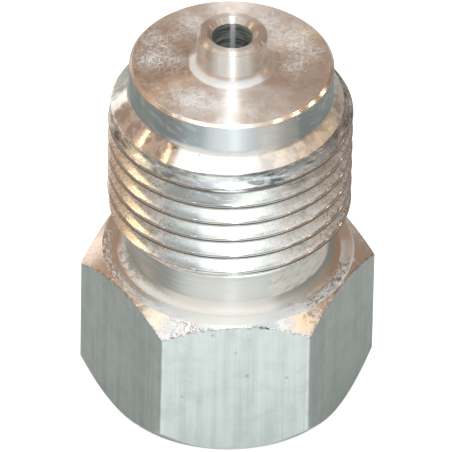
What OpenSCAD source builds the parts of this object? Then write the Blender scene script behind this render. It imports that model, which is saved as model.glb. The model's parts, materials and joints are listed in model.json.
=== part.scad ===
// Adapter fitting for a pressure gauge, turned in one piece from hexagon bar.
// A male pipe thread with a nose and a centring spigot points up, and a tapped
// port for the gauge opens in the lower face of the hexagon. The part stands on
// that face, with its axis along Z and Z = 0 at the face.

/* [Hexagon] */
// Width across the flats
hex_af = 22; // [21:0.5:30]
// Height from the lower face to the bearing shoulder
hex_h = 13.9; // [11:0.1:20]
// How far the round shoulder's rim lies inside the flats
shoulder_inset = 0.15; // [0:0.05:0.5]
// Slope of the upper corner chamfer, in degrees below the shoulder
top_chamfer_angle = 38; // [15:1:45]
// How far the lower face's round rim lies inside the flats
base_inset = 0.25; // [0:0.05:0.8]
// Slope of the lower corner chamfer, in degrees above the lower face
base_chamfer_angle = 49; // [15:1:50]

/* [Male connection] */
// Length from the bearing shoulder to the face of the nose
connection_l = 20.1; // [16:0.1:26]
// Major diameter of the male pipe thread
thread_d = 20.955; // [20:0.005:21]
// Turns of the male thread in an inch
thread_tpi = 14; // [11:1:19]
// Height above the shoulder of one turn's lower crest edge, seen from the front
thread_phase = 5.28; // [4.4:0.01:6.2]

/* [Undercut] */
// Diameter of the relief between the shoulder and the thread
undercut_d = 17.4; // [16:0.1:18.4]
// Length of the relief along its straight part, fillet included
undercut_l = 3.25; // [2:0.05:5]
// Slope of the run-out cone above the relief, in degrees from the axis
undercut_angle = 40; // [30:1:60]
// Radius of the fillet between the relief and the shoulder
undercut_fillet = 1; // [0.3:0.1:1.4]

/* [Nose] */
// Diameter of the plain nose ahead of the thread
nose_d = 17.5; // [16:0.1:18]
// Length of the plain nose down to the lead-in cone
nose_l = 3; // [1.5:0.1:4]
// Slope of the lead-in cone, in degrees from the axis
nose_cone_angle = 45; // [30:1:60]
// Radius of the blend between the nose and the lead-in cone
nose_fillet = 0.6; // [0.2:0.1:1]
// Break of the rim of the nose face
nose_break = 0.25; // [0.1:0.05:0.6]

/* [Spigot] */
// Diameter of the centring spigot
spigot_d = 6; // [5.4:0.1:8]
// Length of the spigot above the nose face
spigot_l = 3.3; // [2:0.1:5]
// Break of the spigot's outer rim
spigot_break = 0.28; // [0.1:0.02:0.5]
// Radius of the fillet at the foot of the spigot
spigot_fillet = 0.75; // [0.3:0.05:1.5]

/* [Passage] */
// Diameter of the passage from the port through the spigot
passage_d = 3.5; // [2:0.1:4]
// Width of the countersink round the passage's mouth
passage_break = 0.45; // [0.1:0.05:0.7]

/* [Gauge port] */
// Tapping diameter of the female pipe thread, at its crests
port_tap_d = 11.445; // [10:0.005:12.5]
// Major diameter of the female pipe thread, which the countersink clears
port_thread_d = 13.157; // [12.6:0.001:14]
// Depth of the port along its full width
port_depth = 15; // [10:0.5:18]
// Width of the countersink at the port's mouth outside the thread's major diameter
port_mouth_margin = 0.3; // [0.1:0.05:0.8]
// Included angle of the drill point at the port's end
drill_point_angle = 118; // [90:1:140]

/* [Hidden] */
$fn = 96;
// Sections of a thread groove in each turn
turn_sections = 36;
// How far joined solids run into each other, and cuts run past what they cut
lap = 1;
// How far a fillet's section is sunk into the walls that it joins
tuck = 0.25;
// How far a thread groove reaches out past the crests
groove_overrun = 0.15;
// Whitworth thread form: height of the sharp triangle, depth and root radius, for a pitch of 1
flank_angle = 27.5;
sharp_height = 0.960491;
form_depth = 0.640327;
form_radius = 0.137329;
inch = 25.4;

thread_pitch = inch / thread_tpi;
thread_r = thread_d / 2;
port_r = port_tap_d / 2;
port_mouth_r = port_thread_d / 2 + port_mouth_margin;
nose_r = nose_d / 2;
undercut_r = undercut_d / 2;
nose_face_z = hex_h + connection_l;
nose_foot_z = nose_face_z - nose_l;
cone_end_z = nose_foot_z - (thread_r - nose_r) / tan(nose_cone_angle);
undercut_top_z = hex_h + undercut_l;
runout_z = undercut_top_z + (thread_r - undercut_r) / tan(undercut_angle);
top_z = nose_face_z + spigot_l;
drill_point_h = (port_r - passage_d / 2) / tan(drill_point_angle / 2);
hex_corner_r = hex_af / 2 / cos(30);
shoulder_r = hex_af / 2 - shoulder_inset;
base_r = hex_af / 2 - base_inset;

// Cone frustum that holds what lies under a chamfer sloping down from a circle of radius r at z = 0
module chamfer_envelope(r, angle, h) {
    reach = 2 * hex_corner_r;
    drop = (reach - r) * tan(angle);
    translate([0, 0, -drop]) cylinder(r1 = reach, r2 = r, h = drop);
    translate([0, 0, -drop - h]) cylinder(r = reach, h = h);
}

// Hexagon with its corners chamfered at both ends
module hexagon() {
    intersection() {
        cylinder(r = hex_corner_r, h = hex_h, $fn = 6);
        translate([0, 0, hex_h]) chamfer_envelope(shoulder_r, top_chamfer_angle, hex_h);
        mirror([0, 0, 1]) chamfer_envelope(base_r, base_chamfer_angle, hex_h);
    }
}

// Fillet section that fills the corner at the origin between a wall going up and a floor going out
module corner_fillet(r) {
    difference() {
        translate([-tuck, -tuck]) square(r + tuck);
        translate([r, r]) circle(r);
    }
}

// Fillet section between the nose and the cone below it, with the corner at the origin
module nose_blend(r, angle) {
    rise = r * tan(45 - angle / 2);
    difference() {
        polygon([
            [0, rise],
            [r, rise],
            [r - r * cos(angle), rise - r * sin(angle)],
            [0, 0],
        ]);
        translate([r, rise]) circle(r);
    }
}

// Section of the turned shank above the shoulder
module shank_section() {
    polygon([
        [0, hex_h - lap],
        [undercut_r, hex_h - lap],
        [undercut_r, undercut_top_z],
        [thread_r, runout_z],
        [thread_r, cone_end_z],
        [nose_r, nose_foot_z],
        [nose_r, nose_face_z - nose_break],
        [nose_r - nose_break, nose_face_z],
        [0, nose_face_z],
    ]);
    translate([undercut_r, hex_h]) corner_fillet(undercut_fillet);
    translate([nose_r, nose_foot_z]) nose_blend(nose_fillet, nose_cone_angle);
}

// Section of the spigot on the nose
module spigot_section() {
    polygon([
        [0, nose_face_z - lap],
        [spigot_d / 2, nose_face_z - lap],
        [spigot_d / 2, top_z - spigot_break],
        [spigot_d / 2 - spigot_break, top_z],
        [0, top_z],
    ]);
    translate([spigot_d / 2, nose_face_z]) corner_fillet(spigot_fillet);
}

// Half width of a groove at a depth below the crests
function groove_half(pitch, depth) = pitch / 2 - (sharp_height * pitch / 6 + depth) * tan(flank_angle);

// Section of a groove as points of depth below the crests and place along the axis. Its round
// root has three flats between the flanks, and it reaches out past the crests by overrun.
function groove_section(pitch, overrun) =
    let (
        depth = form_depth * pitch,
        radius = form_radius * pitch,
        flank_end = depth - radius * (1 - sin(flank_angle)),
        flat_angle = (90 - flank_angle) / 2,
        flat_depth = depth - radius * (1 - cos(flat_angle))
    )
    [
        [-overrun, groove_half(pitch, -overrun)],
        [flank_end, groove_half(pitch, flank_end)],
        [flat_depth, radius * sin(flat_angle)],
        [flat_depth, -radius * sin(flat_angle)],
        [flank_end, -groove_half(pitch, flank_end)],
        [-overrun, -groove_half(pitch, -overrun)],
    ];

// Right-hand helical groove cut in from a shaft's crests, from z_low to z_high along its middle
// line, which crosses the front at z_front
module helical_groove(crest_r, pitch, z_low, z_high, z_front) {
    section = groove_section(pitch, groove_overrun);
    m = len(section);
    steps = ceil((z_high - z_low) / pitch * turn_sections);
    points = [
        for (i = [0 : steps])
            let (
                z = z_low + i * pitch / turn_sections,
                angle = 270 + (z - z_front) / pitch * 360
            )
            for (p = section)
                [(crest_r - p[0]) * cos(angle), (crest_r - p[0]) * sin(angle), z + p[1]]
    ];
    faces = [
        for (i = [0 : steps - 1], j = [0 : m - 1])
            let (a = i * m + j, b = i * m + (j + 1) % m)
            each [[a, b, b + m], [a, b + m, a + m]],
        [for (j = [0 : m - 1]) m - 1 - j],
        [for (j = [0 : m - 1]) steps * m + j],
    ];
    polyhedron(points, faces, convexity = 10);
}

// Thread groove, which starts on the nose's lead-in cone and runs out into the undercut
module thread_groove() {
    helical_groove(
        thread_r,
        thread_pitch,
        undercut_top_z - thread_pitch / 3,
        nose_foot_z + thread_pitch / 3,
        hex_h + thread_phase - groove_half(thread_pitch, 0)
    );
}

// Port at its tapping diameter, its drill point and the passage through the spigot
module bores() {
    passage_r = passage_d / 2;
    rotate_extrude() polygon([
        [0, -lap],
        [port_mouth_r + lap, -lap],
        [port_r, port_mouth_r - port_r],
        [port_r, port_depth],
        [passage_r, port_depth + drill_point_h],
        [passage_r, top_z - passage_break],
        [passage_r + passage_break + lap, top_z + lap],
        [0, top_z + lap],
    ]);
}

module adapter_body() {
    color("silver") difference() {
        union() {
            hexagon();
            rotate_extrude() {
                shank_section();
                spigot_section();
            }
        }
        thread_groove();
        bores();
    }
}

adapter_body();
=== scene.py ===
"""Looks of the gauge adapter fitting: one turned piece of plated metal on a pale floor."""
import json
import math

import bpy
from mathutils import Matrix, Vector


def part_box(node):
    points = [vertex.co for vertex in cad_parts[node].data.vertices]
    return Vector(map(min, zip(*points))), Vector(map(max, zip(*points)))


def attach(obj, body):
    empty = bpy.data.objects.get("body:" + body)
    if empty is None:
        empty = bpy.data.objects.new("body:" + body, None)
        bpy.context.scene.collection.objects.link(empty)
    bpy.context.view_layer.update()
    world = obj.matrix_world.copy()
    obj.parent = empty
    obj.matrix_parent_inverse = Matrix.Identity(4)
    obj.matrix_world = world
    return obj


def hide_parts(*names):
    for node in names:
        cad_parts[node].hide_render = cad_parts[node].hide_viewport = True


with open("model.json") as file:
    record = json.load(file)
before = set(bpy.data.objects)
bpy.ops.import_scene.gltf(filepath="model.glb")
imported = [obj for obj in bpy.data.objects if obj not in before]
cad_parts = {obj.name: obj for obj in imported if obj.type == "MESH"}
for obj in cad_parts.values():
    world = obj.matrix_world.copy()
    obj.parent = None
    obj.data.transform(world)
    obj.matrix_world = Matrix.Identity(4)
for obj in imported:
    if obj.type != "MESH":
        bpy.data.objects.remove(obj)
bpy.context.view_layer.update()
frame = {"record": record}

# The fitting is modelled in millimetres and brought to metres once it is whole
MM = 0.001

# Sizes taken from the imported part
BODY = "adapter_body"
low_corner, high_corner = (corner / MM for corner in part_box(BODY))
mounts = {m["name"]: m for m in frame["record"]["mounts"]}
hex_af = high_corner.y - low_corner.y
top_z = high_corner.z
shoulder_z = mounts["shoulder"]["pos_m"][2] / MM
nose_face_z = mounts["nose_face"]["pos_m"][2] / MM
thread_r = mounts["male_thread"]["dims"]["r_mm"]
spigot_r = mounts["spigot"]["dims"]["r_mm"]
port_minor_r = mounts["gauge_port"]["dims"]["r_mm"]

# Whitworth thread form: height of the sharp triangle, depth and root radius, for a pitch of 1
SHARP_HEIGHT = 0.960491
FORM_DEPTH = 0.640327
FORM_RADIUS = 0.137329
flank_slope = math.tan(math.radians(27.5))

# Sizes repeated from the part's source, in millimetres
INCH = 25.4
thread_pitch = INCH / 14
port_pitch = INCH / 19
crest_low_edge_z = shoulder_z + 5.28
corner_r = hex_af / 2 / math.cos(math.radians(30))
shoulder_r = hex_af / 2 - 0.15
base_r = hex_af / 2 - 0.25
top_chamfer_slope = math.tan(math.radians(38))
base_chamfer_slope = math.tan(math.radians(49))
undercut_r = 8.7
undercut_top_z = shoulder_z + 3.25
undercut_slope = math.tan(math.radians(40))
undercut_fillet = 1.0
nose_r = 8.75
nose_foot_z = nose_face_z - 3
nose_fillet = 0.6
nose_break = 0.25
spigot_break = 0.28
spigot_fillet = 0.75
passage_r = 1.75
passage_break = 0.45
port_depth = 15.0
port_major_r = port_minor_r + FORM_DEPTH * port_pitch
port_mouth_r = port_major_r + 0.3
drill_slope = math.tan(math.radians(118 / 2))

# Depth to which the port's thread is cut in full, and how far it then takes to fade
port_thread_l = port_depth - 3
port_fade_l = 1.3 * port_pitch
# Radii of small roundings, which the part's source leaves out
CREST_ROUND = 0.2
PORT_CREST_ROUND = 0.06
NECK_ROUND = 0.15
NOSE_ROUND = 0.05
SPIGOT_ROUND = 0.06
MOUTH_ROUND = 0.1
SHOULDER_ROUND = 0.06
BASE_ROUND = 0.1
CORNER_BEVEL = 0.12

# How finely round forms are cut, in steps to a turn
TURN_STEPS = 180
BORE_STEPS = 120
PORT_STEPS = 96
# How far a cut runs past what it cuts
CUT_OVERRUN = 2.0
# How far from a rounding a straight is held straight
HOLD = 0.015
# Points closer than this are one point
MERGE_DISTANCE = 0.0005
# Faces that meet at a smaller angle are shaded smooth
SMOOTH_ANGLE = math.radians(28)


def deselect():
    bpy.ops.object.select_all(action="DESELECT")


def make_active(piece):
    """Selects one object alone, for the operators that follow."""
    deselect()
    piece.select_set(True)
    bpy.context.view_layer.objects.active = piece


def rounded(points, arc_steps=8):
    """Corners (across, up, radius) as a line of points, each corner with a radius rounded by an arc.

    A point close to each end of an arc keeps the straight beside it straight when it is shaded smooth.
    """
    line = []
    for i, (x, z, radius) in enumerate(points):
        corner = Vector((x, z))
        if radius == 0:
            line.append(corner)
            continue
        before = (Vector(points[i - 1][:2]) - corner).normalized()
        after = (Vector(points[i + 1][:2]) - corner).normalized()
        half = before.angle(after) / 2
        centre = corner + (before + after).normalized() * radius / math.sin(half)
        setback = radius / math.tan(half)
        start = corner + before * setback - centre
        end = corner + after * setback - centre
        line.append(corner + before * (setback + HOLD))
        for step in range(arc_steps + 1):
            line.append(centre + start.slerp(end, step / arc_steps).normalized() * radius)
        line.append(corner + after * (setback + HOLD))
    return line


def drawn_line(name, line):
    """An object with one line in the XZ plane, extruded from point to point from a single vertex."""
    deselect()
    bpy.ops.mesh.primitive_plane_add(size=1, location=(0, 0, 0))
    piece = bpy.context.object
    piece.name = name
    bpy.ops.object.mode_set(mode="EDIT")
    bpy.ops.mesh.select_mode(type="VERT")
    bpy.ops.mesh.merge(type="CENTER")
    bpy.ops.transform.translate(value=(line[0].x, 0, line[0].y))
    for here, there in zip(line, line[1:]):
        step = there - here
        bpy.ops.mesh.extrude_region_move(TRANSFORM_OT_translate={"value": (step.x, 0, step.y)})
    bpy.ops.object.mode_set(mode="OBJECT")
    return piece


def turned(name, corners, steps=TURN_STEPS, arc_steps=8):
    """A solid of revolution: its section's line is drawn and spun round the Z axis."""
    piece = drawn_line(name, rounded(corners, arc_steps))
    bpy.ops.object.mode_set(mode="EDIT")
    bpy.ops.mesh.select_all(action="SELECT")
    bpy.ops.mesh.spin(steps=steps, angle=math.tau, center=(0, 0, 0), axis=(0, 0, 1))
    bpy.ops.mesh.select_all(action="SELECT")
    bpy.ops.mesh.remove_doubles(threshold=MERGE_DISTANCE)
    bpy.ops.mesh.normals_make_consistent(inside=False)
    bpy.ops.object.mode_set(mode="OBJECT")
    return piece


def apply_modifier(piece, kind, **settings):
    """Adds a modifier with its settings and applies it."""
    make_active(piece)
    modifier = piece.modifiers.new(kind.title(), kind)
    for key, value in settings.items():
        setattr(modifier, key, value)
    bpy.ops.object.modifier_apply(modifier=modifier.name)


def combine(piece, tool, operation):
    """Cuts piece with tool, or joins or trims it, and removes the tool."""
    apply_modifier(piece, "BOOLEAN", object=tool, operation=operation, solver="MANIFOLD")
    bpy.data.objects.remove(tool)


def threaded_rod(name, major_r, pitch, crest_z, z_low, z_high, crest_round, steps=TURN_STEPS):
    """A rod with a right-hand Whitworth thread. crest_z is the height of a crest's middle on the +X side."""
    sharp_height = SHARP_HEIGHT * pitch
    land = sharp_height / 6 * flank_slope
    root_x = major_r - sharp_height * 5 / 6
    first_z = crest_z - pitch * (2 + math.floor((crest_z - z_low) / pitch))
    turns = math.ceil((z_high - first_z) / pitch) + 2
    corners = [
        (major_r, first_z, 0),
        (major_r, first_z + land, crest_round),
        (root_x, first_z + pitch / 2, FORM_RADIUS * pitch),
        (major_r, first_z + pitch - land, crest_round),
        (major_r, first_z + pitch, 0),
    ]
    piece = drawn_line(name, rounded(corners, 4))
    apply_modifier(
        piece, "SCREW", axis="Z", angle=math.tau, screw_offset=pitch,
        iterations=turns, steps=steps, render_steps=steps,
    )
    bpy.ops.object.mode_set(mode="EDIT")
    bpy.ops.mesh.select_all(action="SELECT")
    bpy.ops.mesh.remove_doubles(threshold=MERGE_DISTANCE)
    for z, side in ((z_low, -1), (z_high, 1)):
        bpy.ops.mesh.select_all(action="SELECT")
        bpy.ops.mesh.bisect(plane_co=(0, 0, z), plane_no=(0, 0, side), clear_outer=True)
    bpy.ops.mesh.select_all(action="SELECT")
    bpy.ops.mesh.delete_loose()
    bpy.ops.mesh.select_all(action="SELECT")
    bpy.ops.mesh.fill_holes(sides=0)
    bpy.ops.mesh.select_all(action="SELECT")
    bpy.ops.mesh.normals_make_consistent(inside=False)
    bpy.ops.object.mode_set(mode="OBJECT")
    return piece


def make_shank():
    """The part above the hexagon: undercut, thread, lead-in cone, nose and spigot."""
    buried_z = shoulder_z - 1.5
    outer_r = thread_r + 0.4
    envelope = turned("shank", [
        (0, buried_z, 0),
        (undercut_r, buried_z, 0),
        (undercut_r, undercut_top_z, NECK_ROUND),
        (outer_r, undercut_top_z + (outer_r - undercut_r) / undercut_slope, 0),
        (outer_r, nose_foot_z - (outer_r - nose_r), 0),
        (nose_r, nose_foot_z, nose_fillet),
        (nose_r, nose_face_z - nose_break, NOSE_ROUND),
        (nose_r - nose_break, nose_face_z, NOSE_ROUND),
        (spigot_r, nose_face_z, spigot_fillet),
        (spigot_r, top_z - spigot_break, SPIGOT_ROUND),
        (spigot_r - spigot_break, top_z, SPIGOT_ROUND),
        (0, top_z, 0),
    ])
    crest_z = crest_low_edge_z + SHARP_HEIGHT * thread_pitch / 6 * flank_slope + thread_pitch / 4
    rod = threaded_rod("rod", thread_r, thread_pitch, crest_z, buried_z - 1, top_z + 1, CREST_ROUND)
    combine(envelope, rod, "INTERSECT")
    return envelope


def make_hexagon():
    """The hexagon with soft corners, chamfered at both ends."""
    deselect()
    bpy.ops.mesh.primitive_cylinder_add(
        vertices=6, radius=corner_r, depth=shoulder_z,
        location=(0, 0, shoulder_z / 2), rotation=(0, 0, math.radians(30)),
    )
    piece = bpy.context.object
    piece.name = "fitting"
    bpy.ops.object.transform_apply(location=True, rotation=True, scale=True)
    bpy.ops.object.mode_set(mode="EDIT")
    bpy.ops.mesh.select_all(action="DESELECT")
    bpy.ops.object.mode_set(mode="OBJECT")
    for edge in piece.data.edges:
        ends = [piece.data.vertices[v].co for v in edge.vertices]
        edge.select = abs(ends[0].z - ends[1].z) > shoulder_z / 2
    bpy.ops.object.mode_set(mode="EDIT")
    bpy.ops.mesh.select_mode(type="EDGE")
    bpy.ops.mesh.bevel(offset=CORNER_BEVEL, segments=3, affect="EDGES")
    bpy.ops.object.mode_set(mode="OBJECT")
    reach = 1.2 * corner_r
    envelope = turned("chamfers", [
        (0, 0, 0),
        (base_r, 0, BASE_ROUND),
        (reach, (reach - base_r) * base_chamfer_slope, 0),
        (reach, shoulder_z + (shoulder_r - reach) * top_chamfer_slope, 0),
        (shoulder_r, shoulder_z, SHOULDER_ROUND),
        (0, shoulder_z, 0),
    ], arc_steps=3)
    combine(piece, envelope, "INTERSECT")
    return piece


def make_fillet_ring():
    """The fillet between the shoulder and the undercut."""
    sunk = 0.5
    arm = undercut_fillet + 0.4
    return turned("fillet_ring", [
        (undercut_r - sunk, shoulder_z - sunk, 0),
        (undercut_r + arm, shoulder_z - sunk, 0),
        (undercut_r + arm, shoulder_z, 0),
        (undercut_r, shoulder_z, undercut_fillet),
        (undercut_r, shoulder_z + arm, 0),
        (undercut_r - sunk, shoulder_z + arm, 0),
        (undercut_r - sunk, shoulder_z - sunk, 0),
    ], arc_steps=10)


def make_bores():
    """What is cut out: the tapped port, its drill point and the passage through the spigot."""
    point_h = (port_minor_r - passage_r) / drill_slope
    bores = turned("bores", [
        (0, -CUT_OVERRUN, 0),
        (port_mouth_r + CUT_OVERRUN, -CUT_OVERRUN, 0),
        (port_minor_r, port_mouth_r - port_minor_r, 0),
        (port_minor_r, port_depth, 0),
        (passage_r, port_depth + point_h, 0),
        (passage_r, top_z - passage_break, MOUTH_ROUND),
        (passage_r + passage_break + CUT_OVERRUN, top_z + CUT_OVERRUN, 0),
        (0, top_z + CUT_OVERRUN, 0),
    ], steps=BORE_STEPS, arc_steps=3)
    tap = threaded_rod(
        "tap", port_major_r, port_pitch, 0, -CUT_OVERRUN / 2, port_depth - 0.5, PORT_CREST_ROUND,
        steps=PORT_STEPS,
    )
    sleeve = turned("sleeve", [
        (0, -CUT_OVERRUN, 0),
        (port_major_r + 1, -CUT_OVERRUN, 0),
        (port_major_r + 1, port_thread_l, 0),
        (port_major_r, port_thread_l, 0),
        (port_minor_r - 0.5, port_thread_l + port_fade_l, 0),
        (0, port_thread_l + port_fade_l, 0),
    ], steps=PORT_STEPS)
    combine(tap, sleeve, "INTERSECT")
    combine(bores, tap, "UNION")
    return bores


def make_fitting():
    """The whole fitting as one closed mesh, in millimetres."""
    piece = make_hexagon()
    combine(piece, make_shank(), "UNION")
    combine(piece, make_fillet_ring(), "UNION")
    combine(piece, make_bores(), "DIFFERENCE")
    return piece


# The camera's side of the fitting, in degrees to the right of the front
CAMERA_AZIMUTH = -4.28


def photo_point(azimuth, r, z):
    """A point in millimetres, from its azimuth in degrees to the right of the camera's side."""
    turn = math.radians(azimuth + CAMERA_AZIMUTH)
    return r * math.sin(turn), -r * math.cos(turn), z


# Colours, as linear values
WHITE = (1, 1, 1)
BLACK = (0, 0, 0)
SILVER = (0.88, 0.88, 0.87)
DRAWN = (0.615, 0.665, 0.665)
DRAWN_DARK = (0.43, 0.49, 0.495)
COOL_TURNED = (0.47, 0.55, 0.59)
COOL_DARK = (0.36, 0.42, 0.45)
SPIGOT_SIDE = (0.78, 0.78, 0.78)
CONE_DARK = (0.54, 0.52, 0.50)
CONE_PALE = (0.80, 0.78, 0.76)
# GOLD and CREAM are painted reflections of warm lamps, used on the corner chamfers
GOLD = (0.96, 0.80, 0.55)
CREAM = (0.97, 0.96, 0.88)
TURNED_FACE = (0.80, 0.76, 0.72)
FLANK = (0.66, 0.71, 0.73)
FLANK_PALE = (0.82, 0.84, 0.84)
TORN = (0.70, 0.65, 0.61)
TORN_DARK = (0.35, 0.38, 0.39)
# A painted warm reflection on the thread's right flanks
WARM_REFLECTION = (0.95, 0.86, 0.78)
# Dark tones painted on the crests and their lower edges as dark reflection and shade; the coolest also
# darkens torn marks
CREST = (0.42, 0.37, 0.33)
CREST_COOL = (0.36, 0.38, 0.40)
COOL_SHADE_AND_TEAR = (0.10, 0.12, 0.13)
# Browns painted where the metal mirrors brown surroundings: painted reflections
SIDE_BROWN = (0.62, 0.50, 0.41)
LEFT_BROWN = (0.86, 0.68, 0.52)
# Whites for real scuffs and rubs, and for painted highlights where the metal mirrors lamps and the floor
SCUFF_AND_HIGHLIGHT = (0.86, 0.93, 0.98)
WHITE_RUB_AND_HIGHLIGHT = (0.94, 1.0, 1.0)
# Dark for grime and marks, and for the painted shade along the crests' lower edges
GRIME_AND_SHADE = (0.14, 0.11, 0.09)
BORE = (0.72, 0.80, 0.82)
BORE_DARK = (0.16, 0.20, 0.21)

# Scuffs on the nose face as x, y and radius in millimetres
FACE_SCUFFS = (
    (-7.4, 0.6, 2.4), (-6.4, 3.2, 3.0), (-5.0, 0.4, 2.6), (-3.0, 5.4, 2.8), (-4.6, -4.4, 3.0),
    (-2.8, -5.4, 2.8), (6.6, 1.2, 2.4), (4.5, 2.3, 2.4), (5.2, -0.9, 2.2), (3.5, 4.9, 2.8), (6.0, 3.6, 2.4),
)
# Directions of the nose face's scratches, in degrees
SCRATCH_TURNS = (78, 20, -35)
# Marks on the front flat as x, z and radius in millimetres
FLAT_MARKS = ((1.0, 8.4, 0.35), (-2.0, 13.0, 0.3), (0.0, 11.0, 0.22), (4.4, 8.1, 0.25), (-4.6, 6.3, 0.2))
# Places on the front corner chamfers as x, y, z and radius in millimetres: white, gold and cream places that
# are painted reflections of lamps, then burrs and a cracked place
WHITE_REFLECTION_LEFT = (-5.3, -10.5, 13.2, 2.2)
WHITE_REFLECTION_RIGHT = (4.2, -10.4, 13.6, 1.5)
GOLD_REFLECTION_LEFT = (-7.2, -8.8, 13.45, 1.2)
GOLD_REFLECTION_RIGHT = (6.0, -9.9, 13.3, 1.6)
CREAM_LEFT = (-7.0, -9.1, 13.4, 2.2)
BURR_MIDDLE = (2.7, -10.9, 13.7, 1.2)
BURR_RIGHT = (6.4, -9.4, 13.4, 1.1)
BURR_LEFT = (-5.2, -10.9, 13.0, 0.5)
CRACKED = (-4.2, -10.6, 13.4, 3)
# Places on the thread and the cone as azimuth in degrees from the camera's side, then r, z and radius
torn_right = (17, 10.2, nose_foot_z - 2, 2.4)
torn_left = (-30, 10.2, nose_foot_z - 2.6, 1.8)
cone_pit = (-17, 9.02, nose_foot_z - 0.27, 0.2)
cone_stain = (-32, 9.03, nose_foot_z - 0.28, 0.75)
# Heights on the thread between which a part of its look fades in
first_turn_z = (nose_foot_z - 3.2, nose_foot_z - 2.7)
right_turns_z = (nose_foot_z - 7, nose_foot_z - 3)
white_crest_z = (nose_foot_z - 3.3, nose_foot_z - 2.8)
lit_flank_z = (nose_foot_z - 3.7, nose_foot_z - 4.5)
dark_low_z = (nose_foot_z - 4.6, nose_foot_z - 4.2)
dark_high_z = (nose_foot_z - 3.3, nose_foot_z - 3.7)
# A quarter of a turn lays the streaks of light across the lathe's lines
STREAK_TURN = 0.25


class Wire:
    """A socket's value in an expression. Its operators add Math nodes to the tree that it is in."""

    def __init__(self, tree, socket):
        self.tree = tree
        self.socket = socket

    def __add__(self, other):
        return self.tree.maths("ADD", self, other)

    def __sub__(self, other):
        return self.tree.maths("SUBTRACT", self, other)

    def __rsub__(self, other):
        return self.tree.maths("SUBTRACT", other, self)

    def __mul__(self, other):
        return self.tree.maths("MULTIPLY", self, other)

    def __truediv__(self, other):
        return self.tree.maths("DIVIDE", self, other)

    __radd__ = __add__
    __rmul__ = __mul__


class Tree:
    """A node tree, with one method that adds nodes and short forms for the usual ones."""

    def __init__(self, node_tree):
        self.nodes = node_tree.nodes
        self.links = node_tree.links

    def add(self, kind, settings=None, values=None, output=0):
        """Adds a node, with its settings first and then the values or links of its sockets."""
        node = self.nodes.new("ShaderNode" + kind)
        for key, value in (settings or {}).items():
            setattr(node, key, value)
        for key, value in (values or {}).items():
            self.put(node, key, value)
        return Wire(self, node.outputs[output])

    def put(self, node, key, value):
        if isinstance(value, Wire):
            self.links.new(value.socket, node.inputs[key])
        else:
            node.inputs[key].default_value = value

    def maths(self, operation, *terms):
        return self.add("Math", {"operation": operation}, dict(enumerate(terms)))

    def ramp(self, value, low, high):
        """0 up to low, 1 from high, and smooth between them. It falls where high is the lower."""
        values = {"Value": value, "From Min": low, "From Max": high}
        return self.add("MapRange", {"interpolation_type": "SMOOTHSTEP"}, values)

    def vector(self, x, y, z):
        return self.add("CombineXYZ", values={0: x, 1: y, 2: z})

    def split(self, vector):
        return (self.add("SeparateXYZ", values={0: vector}, output=i) for i in range(3))

    def mix(self, factor, first, second):
        """A colour between two colours."""
        values = {0: factor, 6: first, 7: second}
        for key in (6, 7):
            if not isinstance(values[key], Wire):
                values[key] = (*values[key], 1)
        return self.add("Mix", {"data_type": "RGBA", "clamp_factor": True}, values, output=2)


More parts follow.
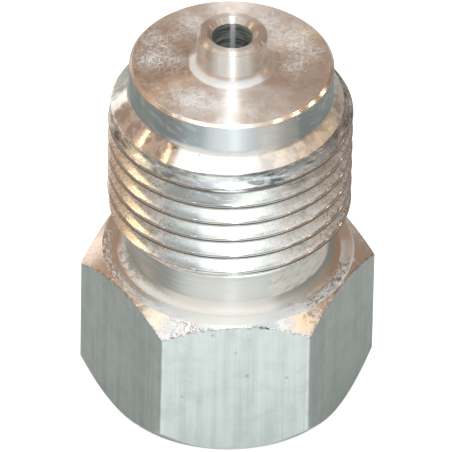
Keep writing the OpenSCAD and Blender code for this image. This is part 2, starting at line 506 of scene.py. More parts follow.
class Finish(Tree):
    """A finish, of metal unless it is told otherwise, and the patterns that finishes share.

    Its lengths are in millimetres.
    """

    def __init__(self, name, streak=0.0):
        self.material = bpy.data.materials.new(name)
        self.material.use_nodes = True
        super().__init__(self.material.node_tree)
        self.shader = self.nodes["Principled BSDF"]
        self.put(self.shader, "Metallic", 1)
        self.put(self.shader, "Anisotropic", streak)
        self.put(self.shader, "Anisotropic Rotation", STREAK_TURN)
        place = self.add("TexCoord", output="Object")
        self.place = self.add("VectorMath", {"operation": "SCALE"}, {"Vector": place, "Scale": 1 / MM})
        self.x, self.y, self.z = self.split(self.place)
        self.r = self.maths("SQRT", self.x * self.x + self.y * self.y)

    def noise(self, place, size, detail=3.0, roughness=0.55, warp=0.0):
        """Noise from 0 to 1 around 0.5, whose blotches are about size across."""
        values = {
            "Vector": place, "Scale": 1 / size, "Detail": detail, "Roughness": roughness, "Distortion": warp,
        }
        return self.add("TexNoise", values=values, output="Fac")

    def side_lines(self, width, length, detail=4.0):
        """Noise of lines round a turned side: width high and about length long."""
        place = self.vector(self.x / length, self.y / length, self.z / width)
        return self.noise(place, 1, detail=detail, roughness=0.65)

    def face_lines(self, width, length, detail=4.0):
        """Noise of lines round a turned face: width across, and about length long at a radius of 10."""
        place = self.vector(self.x / self.r * (10 / length), self.y / self.r * (10 / length), self.r / width)
        return self.noise(place, 1, detail=detail, roughness=0.65)

    def spots(self, size, reach):
        """1 in the middle of round spots spread about size apart, down to 0 at reach of that size."""
        values = {"Vector": self.place, "Scale": 1 / size}
        distance = self.add("TexVoronoi", {"feature": "F1"}, values, output="Distance")
        return self.ramp(distance, reach, reach * 0.4)

    def patch(self, x, y, z, radius):
        """1 at a point, down to 0 at a radius round it."""
        point = self.vector(x, y, z)
        values = {0: self.place, 1: point}
        distance = self.add("VectorMath", {"operation": "DISTANCE"}, values, output="Value")
        return self.ramp(distance, radius, 0)

    def photo_patch(self, azimuth, r, z, radius):
        """The same at a point given by its azimuth from the camera's side."""
        return self.patch(*photo_point(azimuth, r, z), radius)

    def sector(self, azimuth, half_width, soft=12):
        """1 within half_width degrees of an azimuth from the camera's side, down to 0 over soft degrees."""
        x, y, _ = photo_point(azimuth, 1, 0)
        along = (self.x * x + self.y * y) / self.r
        inner, outer = (math.cos(math.radians(angle)) for angle in (half_width, half_width + soft))
        return self.ramp(along, outer, inner)

    def glare(self):
        """1 in front on the first crests, which shine white there."""
        return self.sector(0, 3, soft=7) * self.ramp(self.z, *white_crest_z)

    def uneven(self, pattern, first, second, share=1):
        """The first colour, which goes a share of the way to the second with a noise pattern."""
        return self.mix(self.ramp(pattern, 0.35, 0.65) * share, first, second)

    def flat_gap(self):
        """How far inside the nearest flat of the hexagon a point lies."""
        x, y = self.maths("ABSOLUTE", self.x), self.maths("ABSOLUTE", self.y)
        slanted = x * math.cos(math.radians(30)) + y * math.sin(math.radians(30))
        return hex_af / 2 - self.maths("MAXIMUM", y, slanted)

    def finished(self, colour, roughness, height, depth, metal=1):
        """Joins the colour, roughness, metal share and a relief of the given depth to the shader."""
        normal = self.add("Bump", values={"Strength": 1, "Distance": depth * MM, "Height": height})
        sockets = {"Base Color": colour, "Roughness": roughness, "Metallic": metal, "Normal": normal}
        for key, value in sockets.items():
            self.put(self.shader, key, value)
        return self.material


def drawn_flats():
    """Drawn flats with fine lines along the bar, a few marks, and nicks along their edges."""
    f = Finish("drawn_flats")
    lines = f.noise(f.vector(f.x / 0.1, f.y / 0.1, f.z / 12), 1, detail=5, roughness=0.65)
    bands = f.noise(f.vector(f.x / 0.8, f.y / 0.8, f.z / 25), 1, detail=3)
    cloud = f.noise(f.place, 1.9, detail=7, roughness=0.7)
    marks = f.spots(1.3, 0.09) * f.ramp(f.noise(f.place, 2.5), 0.5, 0.62) * 0.4
    for x, z, radius in FLAT_MARKS:
        marks = marks + f.patch(x, -hex_af / 2, z, radius) * 0.5
    chamfer_z = shoulder_z + (shoulder_r - f.r) * top_chamfer_slope
    nicks = f.ramp(chamfer_z - f.z, 0.3, 0.05) * f.ramp(f.noise(f.place, 0.4, detail=4), 0.48, 0.6)
    wear_and_reflection = f.ramp(f.r, corner_r - 0.13, corner_r - 0.08) * f.ramp(f.noise(f.place, 1.5), 0.35, 0.55)
    shade = f.ramp(lines, 0.35, 0.65) * 0.35 + f.ramp(bands, 0.4, 0.65) * 0.3 + f.ramp(cloud, 0.4, 0.7) * 0.38
    colour = f.mix(shade, DRAWN, DRAWN_DARK)
    colour = f.mix(marks * 0.8, colour, GRIME_AND_SHADE)
    colour = f.mix(nicks * 0.45, colour, GRIME_AND_SHADE)
    colour = f.mix(wear_and_reflection * 0.2, colour, SCUFF_AND_HIGHLIGHT)
    roughness = 0.36 + (cloud - 0.5) * 0.15 + (lines - 0.5) * 0.2
    return f.finished(colour, roughness, lines + cloud * 0.4 - marks, 0.012)


def corner_chamfers():
    """The turned corners of the hexagon: smooth at the sides, with smeared rubs and small burrs. The brown at
    the sides, the tones in front and the white, cream and gold places in front are painted reflections, and
    the glints along the edges are painted highlights.
    """
    f = Finish("corner_chamfers", streak=0.3)
    specks = f.noise(f.place, 0.3, detail=5, roughness=0.7)
    smear = f.noise(f.place, 0.9, detail=6, roughness=0.65, warp=0.5)
    # Rubs from smeared noise, made white and larger at two places by painted reflections of the front light
    bright = f.patch(*WHITE_REFLECTION_LEFT) + f.patch(*WHITE_REFLECTION_RIGHT) * 0.7
    rub_and_highlight = f.ramp(smear + bright * 0.25, 0.56, 0.68)
    gold_reflection = f.patch(*GOLD_REFLECTION_LEFT) * 0.3 + f.patch(*GOLD_REFLECTION_RIGHT)
    gold_reflection = f.ramp(gold_reflection + (smear - 0.5) * 0.8, 0.3, 0.6)
    edge = f.ramp(f.flat_gap(), 0.22, 0.05) * (f.patch(*BURR_MIDDLE) + 0.55)
    edge = edge + f.patch(*BURR_RIGHT) * 0.7 + f.patch(*BURR_LEFT)
    burr = edge * f.ramp(specks, 0.46, 0.56)
    cracks = f.ramp(f.maths("ABSOLUTE", smear - 0.5), 0.025, 0.008) * f.patch(*CRACKED)
    colour = f.uneven(specks, TURNED_FACE, TORN, 0.5)
    # Painted reflections: brown at the sides, the flats' tone and a cool band in front
    colour = f.mix((1 - f.sector(0, 36, soft=20)) * 0.6, colour, SIDE_BROWN)
    colour = f.mix(f.sector(6, 12, soft=14) * 0.9, colour, DRAWN)
    colour = f.mix(f.sector(16, 5, soft=10) * 0.5, colour, COOL_TURNED)
    # Painted reflections of warm lamps: cream at the left front corner, gold at both front corners
    cream = f.ramp(f.patch(*CREAM_LEFT) + (smear - 0.5) * 0.6, 0.2, 0.5)
    colour = f.mix(cream, colour, CREAM)
    colour = f.mix(gold_reflection * 0.6, colour, GOLD)
    colour = f.mix(rub_and_highlight, colour, SCUFF_AND_HIGHLIGHT)
    colour = f.mix(burr * 0.9 + cracks * 0.7, colour, GRIME_AND_SHADE)
    # Painted highlights along the edges
    glint = f.ramp(f.flat_gap(), 0.3, 0.1) * f.ramp(specks, 0.44, 0.36)
    colour = f.mix(glint * 0.7, colour, SCUFF_AND_HIGHLIGHT)
    roughness = 0.24 + rub_and_highlight * 0.16 + (specks - 0.5) * 0.1
    height = specks * 0.5 + smear + rub_and_highlight * 0.3
    dull = rub_and_highlight * 0.45 + cream * (1 - rub_and_highlight) * 0.5
    return f.finished(colour, roughness, height, 0.014, metal=1 - dull)


def bearing_shoulder():
    """The shoulder, turned with a chattering tool that left short bright marks towards its rim, with painted
    brown reflection at its sides and a painted white highlight in front.
    """
    f = Finish("bearing_shoulder", streak=0.9)
    lines = f.face_lines(0.12, 4)
    mottle = f.noise(f.place, 0.4, detail=5, roughness=0.7)
    marks = f.face_lines(0.16, 0.45, detail=8)
    outer = f.ramp(f.r, undercut_r + 1.1, undercut_r + 1.7)
    rough = f.sector(58, 17, soft=12) * (0.5 + outer * 0.5) + f.sector(-60, 34, soft=14) * outer
    oval = f.ramp(f.r, undercut_r + 0.5, undercut_r + 0.9) * f.ramp(f.r, undercut_r + 1.6, undercut_r + 1.2)
    oval = oval * f.sector(88, 4, soft=7)
    chatter = f.ramp(marks, 0.49, 0.57) * rough + oval * f.ramp(mottle, 0.2, 0.5) * 0.8
    # Painted highlight: pale in a wide sector in front, white in a narrow one
    pale = f.sector(0, 26, soft=22) * f.ramp(mottle, 0.15, 0.5) * 1.1
    core = f.sector(1, 8, soft=16)
    rim = f.ramp(f.r, shoulder_r - 0.2, shoulder_r - 0.1) * f.sector(80, 30) * f.ramp(mottle, 0.35, 0.55)
    bright = chatter + pale + rim * 0.6
    colour = f.uneven(lines, TURNED_FACE, TORN, 0.4)
    # Painted brown reflection at the sides
    colour = f.mix((1 - f.sector(0, 30, soft=25)) * 0.6, colour, SIDE_BROWN)
    milky = (f.sector(62, 26, soft=14) * 0.9 + f.sector(-40, 10, soft=16) * 0.5) * outer
    colour = f.mix(milky, colour, SCUFF_AND_HIGHLIGHT)
    colour = f.mix(bright, colour, SCUFF_AND_HIGHLIGHT)
    colour = f.mix(core, colour, WHITE_RUB_AND_HIGHLIGHT)
    dark = f.ramp(marks, 0.49, 0.36) * rough * (0.3 + f.sector(62, 26) * 0.45)
    colour = f.mix(dark, colour, GRIME_AND_SHADE)
    return f.finished(colour, 0.36 + bright * 0.1, lines + marks * rough, 0.03, metal=1 - bright * 0.6)


def shoulder_fillet():
    """The fillet at the foot of the shank, with a painted white highlight in a mottled band, strongest in
    front, and painted brown reflection on its outer part.
    """
    f = Finish("shoulder_fillet", streak=0.7)
    lines = f.side_lines(0.12, 3)
    mottle = f.noise(f.place, 0.45, detail=6, roughness=0.7)
    across = f.r + (mottle - 0.5) * 0.6
    # Painted white highlight in a mottled band, strongest in front, with smears to the right
    band = f.ramp(across, undercut_r, undercut_r + 0.5) * f.ramp(across, undercut_r + 1.1, undercut_r + 0.75)
    band = band * f.ramp(mottle + f.sector(-10, 20, soft=30) * 0.4, 0.35, 0.6)
    band = f.maths("MAXIMUM", band, f.sector(0, 24, soft=22) * 0.8)
    smeared = f.ramp(f.r, undercut_r + 0.4, undercut_r + 0.9) * f.ramp(mottle, 0.25, 0.75) * f.sector(46, 12)
    rub_and_highlight = band * f.sector(-30, 52) + smeared * 0.7
    # Painted reflections: brown on the outer part, the flats' tone in front
    colour = f.mix(f.ramp(f.r, undercut_r + 0.2, undercut_r + 0.7), COOL_TURNED, SIDE_BROWN)
    colour = f.mix(f.sector(0, 30, soft=25), colour, DRAWN)
    colour = f.mix(rub_and_highlight, colour, f.mix(f.sector(-6, 22, soft=16), SCUFF_AND_HIGHLIGHT, WHITE_RUB_AND_HIGHLIGHT))
    return f.finished(colour, 0.46, lines + rub_and_highlight * 0.5, 0.012, metal=1 - rub_and_highlight * 0.8)


def turned_neck():
    """The undercut and its run-out cone, with fine lines round them, slanted rub marks on the right, and
    painted white highlights on the run-out cone and in front.
    """
    f = Finish("turned_neck", streak=1.0)
    lines = f.side_lines(0.1, 3)
    slanted = f.noise(f.vector(f.x / 0.9, f.y / 0.9, f.z / 0.35 - f.x / 0.6), 1, detail=5, roughness=0.65)
    rub_and_highlight = f.ramp(slanted, 0.2, 0.6) * f.sector(50, 22)
    # Painted white highlights on the run-out cone and in front, added to the rub marks
    runout = f.ramp(f.r, undercut_r + 0.1, undercut_r + 0.5) * f.ramp(slanted, 0.2, 0.5)
    rub_and_highlight = f.maths("MAXIMUM", rub_and_highlight, runout)
    rub_and_highlight = f.maths("MAXIMUM", rub_and_highlight, f.sector(2, 12, soft=26) * 0.65)
    colour = f.mix(rub_and_highlight, f.uneven(lines, COOL_TURNED, SILVER, 0.5), WHITE_RUB_AND_HIGHLIGHT)
    return f.finished(colour, 0.38 + (lines - 0.5) * 0.3, lines + rub_and_highlight * 0.4, 0.008, metal=1 - rub_and_highlight * 0.7)


def cut_thread():
    """The thread's upper flanks and crests, finely torn, and its first turns torn most. Their lighter and
    darker places by azimuth are painted light: white highlights in front and to both sides, brown and warm
    reflections, shade on the flanks' outer parts to the left, and a dark reflection on the crests.
    """
    f = Finish("cut_thread", streak=0.5)
    specks = f.noise(f.place, 0.26, detail=6, roughness=0.8)
    cloud = f.noise(f.place, 1.1, detail=4)
    crest = f.ramp(f.r, thread_r - 0.2, thread_r - 0.06) * (1 - f.glare() * 0.8)
    front = f.sector(5, 12, soft=20)
    # Painted highlight: mottled white in two sectors, left and right of the front
    mottled_highlight = f.ramp(f.noise(f.place, 0.6, detail=7, roughness=0.75), 0.42, 0.6)
    mottled_highlight = mottled_highlight * (f.sector(-32, 8, soft=12) + f.sector(35, 9, soft=12))
    white = f.maths("MAXIMUM", f.ramp(specks, 0.5, 0.62) * (1 - front) * 0.8, mottled_highlight)
    colour = f.uneven(cloud, FLANK, FLANK_PALE)
    # Painted reflections: brown on the left flanks, warm on the right
    colour = f.mix(f.sector(-64, 18, soft=20) * 0.75, colour, LEFT_BROWN)
    colour = f.mix(f.sector(44, 12, soft=14) * 0.8, colour, WARM_REFLECTION)
    colour = f.mix(f.ramp(specks, 0.53, 0.38) * (1 - front) * 0.8, colour, TORN_DARK)
    colour = f.mix(white, colour, SCUFF_AND_HIGHLIGHT)
    # Painted shade on the flanks' outer parts, left of the front
    lower = f.sector(-19, 9, soft=10) * f.ramp(f.r, thread_r - 0.8, thread_r - 0.3)
    colour = f.mix(lower * 0.8, colour, COOL_DARK)
    # Painted white highlight on the flanks in front
    lit = f.sector(1, 9, soft=9) * f.ramp(f.z, *lit_flank_z)
    colour = f.mix(lit * 0.9, colour, WHITE_RUB_AND_HIGHLIGHT)
    first = f.ramp(f.z, *first_turn_z) + f.ramp(f.z, *right_turns_z) * f.sector(42, 14) * 0.7
    torn = f.side_lines(0.18, 1.5, detail=7)
    torn = torn + f.photo_patch(*torn_right) * 0.1 + f.photo_patch(*torn_left) * 0.12
    outside = first * (1 - f.sector(-6, 5, soft=7) * 0.85)
    dark = f.sector(-14, 4, soft=20) * f.ramp(f.z, *dark_low_z) * f.ramp(f.z, *dark_high_z)
    # Painted brown reflection on the first turns to the right
    colour = f.mix(first * f.sector(54, 20, soft=14) * 0.55, colour, SIDE_BROWN)
    colour = f.mix(f.ramp(torn, 0.34, 0.56) * outside * 0.8, colour, TORN_DARK)
    colour = f.mix(f.ramp(torn, 0.55, 0.63) * outside * 0.75, colour, COOL_SHADE_AND_TEAR)
    colour = f.mix(f.ramp(torn, 0.42, 0.36) * first, colour, SCUFF_AND_HIGHLIGHT)
    colour = f.mix(dark * f.ramp(torn, 0.2, 0.5), colour, TORN_DARK)
    # Painted dark reflection on the crests, cooler in front
    crest_reflection = crest * (1 - front * 0.6) * 0.8
    colour = f.mix(crest_reflection, colour, f.mix(front, CREST, CREST_COOL))
    roughness = (0.18 + (cloud - 0.5) * 0.16 + (1 - front) * 0.1) * (1 - crest * 0.55)
    smooth = front * 0.7 + f.sector(-50, 12, soft=10) * 0.6
    height = specks * (1 - crest) * (1 - smooth) + torn * first
    return f.finished(colour, roughness, height, 0.018, metal=1 - white * 0.6)


def thread_underside():
    """The lower flanks, smooth from the cutter's side."""
    f = Finish("thread_underside")
    specks = f.noise(f.place, 0.2, detail=4, roughness=0.7)
    return f.finished(f.mix(specks * 0.2, SILVER, TORN), 0.18 + (specks - 0.5) * 0.1, specks, 0.004)


def crest_edge():
    """The lower edge of each crest, painted dark as shade, darkest in front, with a painted white highlight
    on the first crests in front.
    """
    f = Finish("crest_edge")
    specks = f.noise(f.place, 0.3, detail=4, roughness=0.7)
    # Painted shade with lighter specks
    colour = f.mix(f.ramp(specks, 0.6, 0.85), GRIME_AND_SHADE, CREST)
    colour = f.mix(f.sector(0, 20, soft=20) * 0.6, colour, COOL_SHADE_AND_TEAR)
    colour = f.mix(f.glare() * 0.8, colour, WHITE_RUB_AND_HIGHLIGHT)
    return f.finished(colour, 0.4 + specks * 0.1, specks, 0.01)


def lead_in_cone():
    """The bright cone at the thread's start, with painted white highlights in front and a burr along its
    outer edge, whose white line is a painted highlight.
    """
    f = Finish("lead_in_cone", streak=0.5)
    lines = f.side_lines(0.12, 2)
    cloud = f.noise(f.place, 0.9, warp=0.5)
    burr = f.ramp(f.r, thread_r - 0.42, thread_r - 0.3) * f.ramp(f.noise(f.place, 0.3, detail=4), 0.4, 0.55)
    burr = burr * (f.sector(75, 38) + f.sector(-75, 34))
    colour = f.mix(f.ramp(cloud, 0.38, 0.6), CONE_DARK, CONE_PALE)
    # Painted white highlights in front and a little to the right
    colour = f.mix(f.sector(-8, 11, soft=16), colour, SCUFF_AND_HIGHLIGHT)
    colour = f.mix(f.sector(22, 6, soft=12) * 0.4, colour, WHITE_RUB_AND_HIGHLIGHT)
    foot = f.ramp(f.z, nose_foot_z - 0.35, nose_foot_z - 0.1) * f.sector(-4, 16, soft=22)
    stain = f.photo_patch(*cone_stain) * f.ramp(cloud, 0.42, 0.52)
    colour = f.mix(f.photo_patch(*cone_pit) + stain, colour, GRIME_AND_SHADE)
    # The burr's white line is a painted highlight
    colour = f.mix(burr, colour, SCUFF_AND_HIGHLIGHT)
    roughness = 0.16 + (cloud - 0.5) * 0.16 + burr * 0.2 + f.sector(70, 46, soft=20) * 0.18
    return f.finished(colour, roughness, lines, 0.006, metal=1 - burr * 0.5 - foot)


def turned_nose():
    """The nose's side, finely turned, with faint slanted rub marks, a darker cool tone that is a painted dark
    reflection, a painted white highlight in front and along its foot there, and a painted lighter band to the
    right.
    """
    f = Finish("turned_nose", streak=1.0)
    lines = f.side_lines(0.12, 3)
    place = f.vector(f.x / 1.4, f.y / 1.4, f.z / 0.5 + f.x / 1.1)
    rub_and_highlight = f.ramp(f.noise(place, 1, detail=5, roughness=0.65), 0.46, 0.7)
    # A darker cool tone, painted as dark reflection
    colour = f.uneven(lines, COOL_DARK, COOL_TURNED, 0.3)
    # Painted white highlight: a narrow streak in front and the foot in front
    foot = f.ramp(f.z, nose_foot_z + 0.5, nose_foot_z + 0.1) * f.sector(-4, 16, soft=22)
    white = f.maths("MAXIMUM", rub_and_highlight * 0.4 + foot, f.sector(0, 3, soft=15) * 0.6)
    colour = f.mix(white, colour, SCUFF_AND_HIGHLIGHT)
    # Painted lighter band to the right
    colour = f.mix(f.sector(27, 5, soft=12) * 0.6, colour, TURNED_FACE)
    return f.finished(colour, 0.34 + (lines - 0.5) * 0.2, lines + rub_and_highlight * 0.3, 0.006, metal=1 - foot)


def broken_rim():
    """The broken rim of the nose, nearly polished, with painted brown reflection to the left and the right.
    """
    f = Finish("broken_rim")
    cloud = f.noise(f.place, 0.7, detail=4)
    # Painted brown reflection to the left and the right
    wear_and_reflection = f.sector(-82, 26, soft=14)
    brown = wear_and_reflection * 0.8 + f.sector(52, 30, soft=12) * 0.7
    colour = f.mix(brown, f.uneven(cloud, TORN, SILVER), SIDE_BROWN)
    return f.finished(colour, 0.12 + cloud * 0.1 + wear_and_reflection * 0.2, cloud, 0.006)


def nose_face():
    """The sealing face of the nose: finely turned and nearly a mirror, with white scuffs and scratches, a
    painted brown reflection that grows to the left, and a painted white highlight streak in front.
    """
    f = Finish("nose_face", streak=1.0)
    lines = f.face_lines(0.12, 12)
    fine = f.noise(f.place, 0.3, detail=8, roughness=0.9)
    areas = 0
    for x, y, radius in FACE_SCUFFS:
        areas = f.patch(x, y, nose_face_z, radius) + areas
    scuffs = f.ramp(fine + areas * 0.1, 0.52, 0.72) * 0.8
    for turn in SCRATCH_TURNS:
        along, across = math.cos(math.radians(turn)), math.sin(math.radians(turn))
        place = f.vector((f.x * along + f.y * across) / 1.7, (f.y * along - f.x * across) / 0.1, turn)
        scratches = f.noise(place, 1, detail=2, warp=0.3)
        scuffs = scuffs + f.ramp(scratches + areas * 0.1, 0.66, 0.78) * 0.55
    cloud = f.noise(f.place, 1.4, detail=6, roughness=0.65)
    # Painted brown reflection over the cloud, more to the left
    colour = f.mix(f.ramp(cloud, 0.38, 0.62) * (0.7 - f.x * 0.035), TURNED_FACE, SIDE_BROWN)
    # Painted white highlight streak in front
    streak = f.sector(-1, 1, soft=8) * f.ramp(f.r, spigot_r + 0.6, spigot_r + 1)
    colour = f.mix(scuffs + streak * 0.35, colour, SCUFF_AND_HIGHLIGHT)
    pores = f.spots(0.7, 0.12) * f.ramp(cloud, 0.5, 0.6)
    colour = f.mix(pores * 0.6, colour, GRIME_AND_SHADE)
    return f.finished(colour, 0.36 + scuffs * 0.2, lines + scuffs * 0.5, 0.006, metal=1 - scuffs * 0.7)


def spigot_foot():
    """The fillet at the spigot's foot, with a painted white highlight from the left round to the right front.
    """
    f = Finish("spigot_foot", streak=0.8)
    mottle = f.noise(f.place, 0.8, detail=5, roughness=0.7)
    # Painted white highlight
    rub_and_highlight = f.sector(-27, 72, soft=10) * f.ramp(f.r + mottle * 0.3, spigot_r + 0.18, spigot_r + 0.3)
    rub_and_highlight = rub_and_highlight * f.ramp(f.r + mottle * 0.3, spigot_r + 0.88, spigot_r + 0.72)
    colour = f.mix(rub_and_highlight, TURNED_FACE, SCUFF_AND_HIGHLIGHT)
    return f.finished(colour, 0.36 + rub_and_highlight * 0.2, mottle, 0.01, metal=1 - rub_and_highlight * 0.5)


def turned_spigot():
    """The spigot's side and the countersink of its mouth, with a painted white highlight in front."""
    f = Finish("turned_spigot", streak=1.0)
    lines = f.side_lines(0.12, 2)
    cloud = f.noise(f.place, 0.8, detail=4)
    rim_z = top_z - spigot_break
    silvery = f.ramp(cloud, 0.4, 0.65) * (1 - f.ramp(f.z, rim_z - 0.2, rim_z) * 0.6)
    colour = f.mix(silvery, TORN, SPIGOT_SIDE)
    # Painted white highlight in front
    rub_and_highlight = f.sector(2, 18, soft=22) * f.ramp(f.z, rim_z, rim_z - 0.1)
    colour = f.mix(rub_and_highlight, colour, WHITE_RUB_AND_HIGHLIGHT)
    return f.finished(colour, 0.34 + (cloud - 0.5) * 0.14, lines, 0.006)


def drilled_passage():
    """The passage's wall, darker than the outside, with the drill's uneven marks and a painted highlight line
    on the far wall.
    """
    f = Finish("drilled_passage", streak=1.0)
    coarse = f.side_lines(0.5, 4)
    fine = f.side_lines(0.16, 1.5)
    colour = f.mix(f.ramp(coarse * 0.6 + fine * 0.4, 0.38, 0.6), BORE, BORE_DARK)
    # Painted highlight line on the far wall
    line = f.sector(179, 1, soft=9)
    colour = f.mix(line, colour, SCUFF_AND_HIGHLIGHT)
    return f.finished(colour, 0.34 + (fine - 0.5) * 0.2, coarse + fine, 0.03, metal=0.7 - line * 0.6)


def turned_base():
    """The faced-off lower end, and the port's countersink."""
    f = Finish("turned_base", streak=0.8)
    lines = f.face_lines(0.12, 12)
    return f.finished(f.mix(lines, DRAWN, SILVER), 0.32 + (lines - 0.5) * 0.2, lines, 0.015)


def tapped_port():
    """The port's thread and its drill point."""
    f = Finish("tapped_port")
    specks = f.noise(f.place, 0.25, detail=4, roughness=0.7)
    return f.finished(f.mix(specks, BORE, DRAWN), 0.4 + (specks - 0.5) * 0.3, specks, 0.02)


ZONES = [
    drawn_flats, corner_chamfers, bearing_shoulder, shoulder_fillet, turned_neck, cut_thread,
    thread_underside, crest_edge, lead_in_cone, turned_nose, broken_rim, nose_face, spigot_foot,
    turned_spigot, drilled_passage, turned_base, tapped_port,
]


# How closely a face has to lie to a form to belong to it
CLOSE = 0.01


def zone_at(centre, normal):
    """The zone of a face of the fitting, from its middle in millimetres and its normal."""
    r = math.hypot(centre.x, centre.y)
    outward = (normal.x * centre.x + normal.y * centre.y) / max(r, 0.001)
    # The port with its drill point, and the passage with its mouth
    if centre.z < port_depth + 4 and r < port_mouth_r + 0.05:
        return turned_base if r > port_minor_r + 0.9 and normal.z < -0.5 else tapped_port
    if r < passage_r + passage_break - 0.02 and outward < 0:
        return turned_spigot if centre.z > top_z - passage_break and normal.z > 0.3 else drilled_passage
    # The hexagon with its chamfers, the shoulder and the neck
    if centre.z < shoulder_z + CLOSE and r > shoulder_r - 0.2:
        if abs(normal.z) < 0.2:
            return drawn_flats
        if normal.z < 0:
            return turned_base
        return corner_chamfers if r > shoulder_r + 0.02 else bearing_shoulder
    if centre.z < 1:
        return turned_base
    if centre.z < shoulder_z + undercut_fillet and r > undercut_r + CLOSE:
        return shoulder_fillet if r < undercut_r + undercut_fillet else bearing_shoulder
    if centre.z < undercut_top_z + CLOSE:
        return turned_neck
    # The thread, between its run-out cone and its lead-in cone
    if r > nose_r + CLOSE and centre.z < nose_foot_z:
        if abs(r - undercut_r - (centre.z - undercut_top_z) * undercut_slope) < 3 * CLOSE:
            return turned_neck
        if abs(normal.z - math.sqrt(0.5)) < CLOSE and abs(r + centre.z - nose_r - nose_foot_z) < 2 * CLOSE:
            return lead_in_cone
        if centre.z > nose_foot_z - nose_fillet and r < nose_r + nose_fillet / 2:
            return lead_in_cone if normal.z > 0.4 else turned_nose
        if normal.z < 0.05 and r > thread_r - 0.22:
            return crest_edge
        return thread_underside if normal.z < -0.3 else cut_thread
    # The nose and the spigot
    if centre.z < nose_face_z - nose_break - 0.05:
        return lead_in_cone if normal.z > 0.4 else turned_nose
    if centre.z < nose_face_z + spigot_fillet and r < spigot_r + spigot_fillet:
        return spigot_foot
    if 0.3 < normal.z < 0.95 and r > nose_r - nose_break - 3 * CLOSE:
        return broken_rim
    return nose_face if centre.z < nose_face_z + 0.2 else turned_spigot


def dress(piece):
    """Gives each face of the fitting the finish of its zone."""
    piece.data.materials.clear()
    for zone in ZONES:
        piece.data.materials.append(zone())
    make_active(piece)
    bpy.ops.object.mode_set(mode="EDIT")
    bpy.ops.mesh.select_all(action="SELECT")
    bpy.ops.mesh.quads_convert_to_tris()
    bpy.ops.mesh.remove_doubles(threshold=MERGE_DISTANCE)
    bpy.ops.object.mode_set(mode="OBJECT")
    for face in piece.data.polygons:
        face.material_index = ZONES.index(zone_at(face.center, face.normal))


fitting = make_fitting()
dress(fitting)
make_active(fitting)
fitting.scale = (MM, MM, MM)
bpy.ops.object.transform_apply(location=True, rotation=True, scale=True)
bpy.ops.object.shade_smooth_by_angle(angle=SMOOTH_ANGLE)


# Camera, at the place found from the photograph's outlines
VIEW_DISTANCE = 1.113
VIEW_ELEVATION = math.radians(39.06)
VIEW_AZIMUTH = math.radians(CAMERA_AZIMUTH)
VIEW_ROLL = math.radians(1.1)
FOCAL_PX = 12954
IMAGE_PX = 452
SENSOR_MM = 36
# Where the point on the axis 18 mm up lies in the image, from its centre
AXIS_POINT = Vector((0, 0, 18 * MM))
AXIS_POINT_PX = (2.99, -17.3)


def make_camera():
    """A camera that shows the fitting as the photograph does."""
    data = bpy.data.cameras.new("camera")
    data.sensor_width = SENSOR_MM
    data.lens = FOCAL_PX * SENSOR_MM / IMAGE_PX
    data.clip_start = VIEW_DISTANCE / 10
    camera = bpy.data.objects.new("camera", data)
    bpy.context.scene.collection.objects.link(camera)
    level = math.cos(VIEW_ELEVATION)
    towards_camera = Vector((
        math.sin(VIEW_AZIMUTH) * level,
        -math.cos(VIEW_AZIMUTH) * level,
        math.sin(VIEW_ELEVATION),
    ))
    turn = (-towards_camera).to_track_quat("-Z", "Y").to_matrix().to_4x4()
    turn = turn @ Matrix.Rotation(VIEW_ROLL, 4, "Z")
    px = VIEW_DISTANCE / FOCAL_PX
    right = turn @ Vector((1, 0, 0))
    up = turn @ Vector((0, 1, 0))
    aim = AXIS_POINT - right * AXIS_POINT_PX[0] * px + up * AXIS_POINT_PX[1] * px
    camera.matrix_world = Matrix.Translation(aim + towards_camera * VIEW_DISTANCE) @ turn
    bpy.context.scene.camera = camera


# Height and size of the floor in metres. It lies just clear of the fitting's lower face
FLOOR_Z = -0.00003
FLOOR_SIZE = 4
FLOOR_COLOUR = (0.51, 0.57, 0.575)
# The floor's glow as the camera sees it, and its colour at the strongest glow that it can have
FLOOR_CAMERA_GLOW = 0.8
FULL_GLOW = 2
FULL_GLOW_COLOUR = (1.98, 2.0, 2.0)
# A painted pool of glow on the floor before the front flat, and a brighter part of a ring beyond it, which
# only reflections see, in millimetres and degrees
POOL_HALF_WIDTH = 14
POOL_NEAR = 9
POOL_NEAR_EDGE = 3
POOL_MIDDLE = 20
POOL_GLOW = 0.62
POOL_RISE = 0.008
POOL_EDGE = 5
RING_NEAR = 33
RING_FAR = 88
RING_HALF_ANGLE = 28
RING_SOFT = 36
RING_GLOW = 1.02
# The surroundings: walls that go from the left colour to the right one, and the ceiling above them
WORLD_LEFT = (0.58, 0.43, 0.335)
WORLD_RIGHT = (0.40, 0.315, 0.26)
WORLD_SIDES = (-0.6, 0.8)
WORLD_TOP = (1.05, 1.05, 1.05)
WORLD_WALL_TOP = 0.72
WORLD_CEILING = 0.9


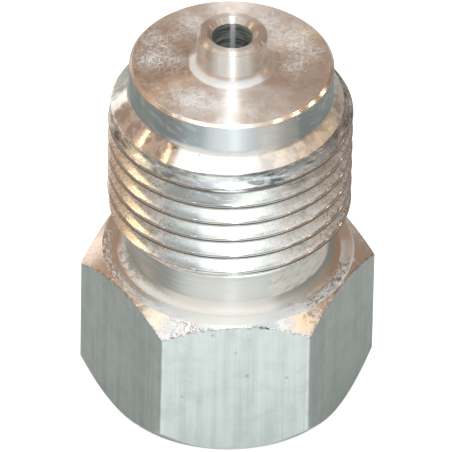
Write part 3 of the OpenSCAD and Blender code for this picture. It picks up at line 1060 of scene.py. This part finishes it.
def make_floor():
    """A pale floor with a painted glow in front of the fitting, which only reflections see. It shows white
    and keeps the fitting's shadow.
    """
    deselect()
    bpy.ops.mesh.primitive_plane_add(size=FLOOR_SIZE, location=(0, 0, FLOOR_Z))
    floor = bpy.context.object
    floor.name = "floor"
    f = Finish("pale_floor")
    seen = f.add("LightPath", output="Is Camera Ray")
    mirrored = f.add("LightPath", output="Is Glossy Ray")
    # Painted pool and ring of glow, seen only in reflections
    across = f.ramp(f.maths("ABSOLUTE", f.x), POOL_HALF_WIDTH + POOL_EDGE, POOL_HALF_WIDTH - POOL_EDGE)
    near = f.ramp(f.y, -POOL_NEAR, -POOL_NEAR - POOL_NEAR_EDGE)
    far = f.ramp(f.r, RING_NEAR, RING_NEAR - POOL_EDGE)
    pool = across * near * far * (POOL_GLOW + (f.maths("ABSOLUTE", f.y) - POOL_MIDDLE) * POOL_RISE)
    span = f.ramp(f.r, RING_NEAR - POOL_EDGE, RING_NEAR) * f.ramp(f.r, RING_FAR + POOL_EDGE, RING_FAR)
    ring = f.sector(0, RING_HALF_ANGLE, soft=RING_SOFT) * span * RING_GLOW
    glow = (seen * FLOOR_CAMERA_GLOW + mirrored * (pool + ring)) / FULL_GLOW
    f.put(f.shader, "Metallic", 0)
    f.put(f.shader, "Base Color", (*FLOOR_COLOUR, 1))
    f.put(f.shader, "Roughness", 0.9)
    f.put(f.shader, "Emission Color", f.mix(glow, BLACK, FULL_GLOW_COLOUR))
    f.put(f.shader, "Emission Strength", 1)
    floor.data.materials.append(f.material)


def make_world():
    """Plain studio surroundings: white overhead, warm grey at the sides and the back."""
    world = bpy.data.worlds.new("studio")
    bpy.context.scene.world = world
    world.use_nodes = True
    sky = Tree(world.node_tree)
    x, _, z = sky.split(sky.add("TexCoord", output="Generated"))
    walls = sky.mix(sky.ramp(x, *WORLD_SIDES), WORLD_LEFT, WORLD_RIGHT)
    colour = sky.mix(sky.ramp(z, WORLD_WALL_TOP, WORLD_CEILING), walls, WORLD_TOP)
    colour = sky.mix(sky.add("LightPath", output="Is Camera Ray"), colour, WHITE)
    sky.put(sky.nodes["Background"], "Color", colour)


def add_lamp(name, azimuth, elevation, distance, size, radiance, colour):
    """An area lamp that faces the fitting. Azimuth is in degrees from the camera's side, to the right."""
    deselect()
    level = math.cos(math.radians(elevation)) * distance
    place = Vector((
        math.sin(math.radians(azimuth)) * level,
        -math.cos(math.radians(azimuth)) * level,
        math.sin(math.radians(elevation)) * distance,
    ))
    bpy.ops.object.light_add(type="AREA", location=place)
    lamp = bpy.context.object
    lamp.name = name
    lamp.rotation_euler = (-place).to_track_quat("-Z", "Y").to_euler()
    lamp.data.shape = "RECTANGLE"
    lamp.data.size = size[0]
    lamp.data.size_y = size[1]
    lamp.data.color = colour
    lamp.data.energy = radiance * math.pi * size[0] * size[1]


WARM = (1.0, 0.72, 0.42)
PALE = (1.0, 0.95, 0.88)
SPOT = (0.03, 0.03)
# Each lamp's name, azimuth, elevation, distance and size in metres, radiance and colour
LAMPS = [
    ("overhead_strip", 0, 75, 1.2, (0.24, 1.3), 3.0, WHITE),
    ("front_strip", 0, 14, 0.7, (0.07, 0.25), 4, WHITE),
    ("front_softbox", -18, 50, 1.6, (2.0, 0.45), 1.0, WHITE),
    ("left_back_window", -148, 8, 1.0, (0.4, 0.25), 1.2, WHITE),
    ("left_gold", -121, 47, 1.0, (0.08, 0.2), 10, (1.0, 0.82, 0.52)),
    ("right_cream", 55, 50, 1.0, (0.75, 0.35), 0.62, (1.0, 0.95, 0.9)),
    ("left_high", -76, 52, 1.0, (0.14, 0.1), 2, (1.0, 0.9, 0.75)),
    ("left_low", -98, 28, 0.8, SPOT, 28, WARM),
    ("left_middle", -71, 39, 0.8, SPOT, 22, WARM),
    ("left_front", -42, 47, 0.8, SPOT, 21, PALE),
    ("right_front", 53, 45, 0.8, SPOT, 34, WARM),
    ("right_middle", 75, 38, 0.8, SPOT, 34, WARM),
    ("right_side", 93, 30, 0.8, SPOT, 34, WARM),
    ("right_back", 109, 22, 0.8, SPOT, 34, WARM),
]

make_camera()
make_floor()
make_world()
for lamp_row in LAMPS:
    add_lamp(*lamp_row)

bpy.context.scene.view_settings.view_transform = "Standard"

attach(fitting, "root")
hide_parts(BODY)
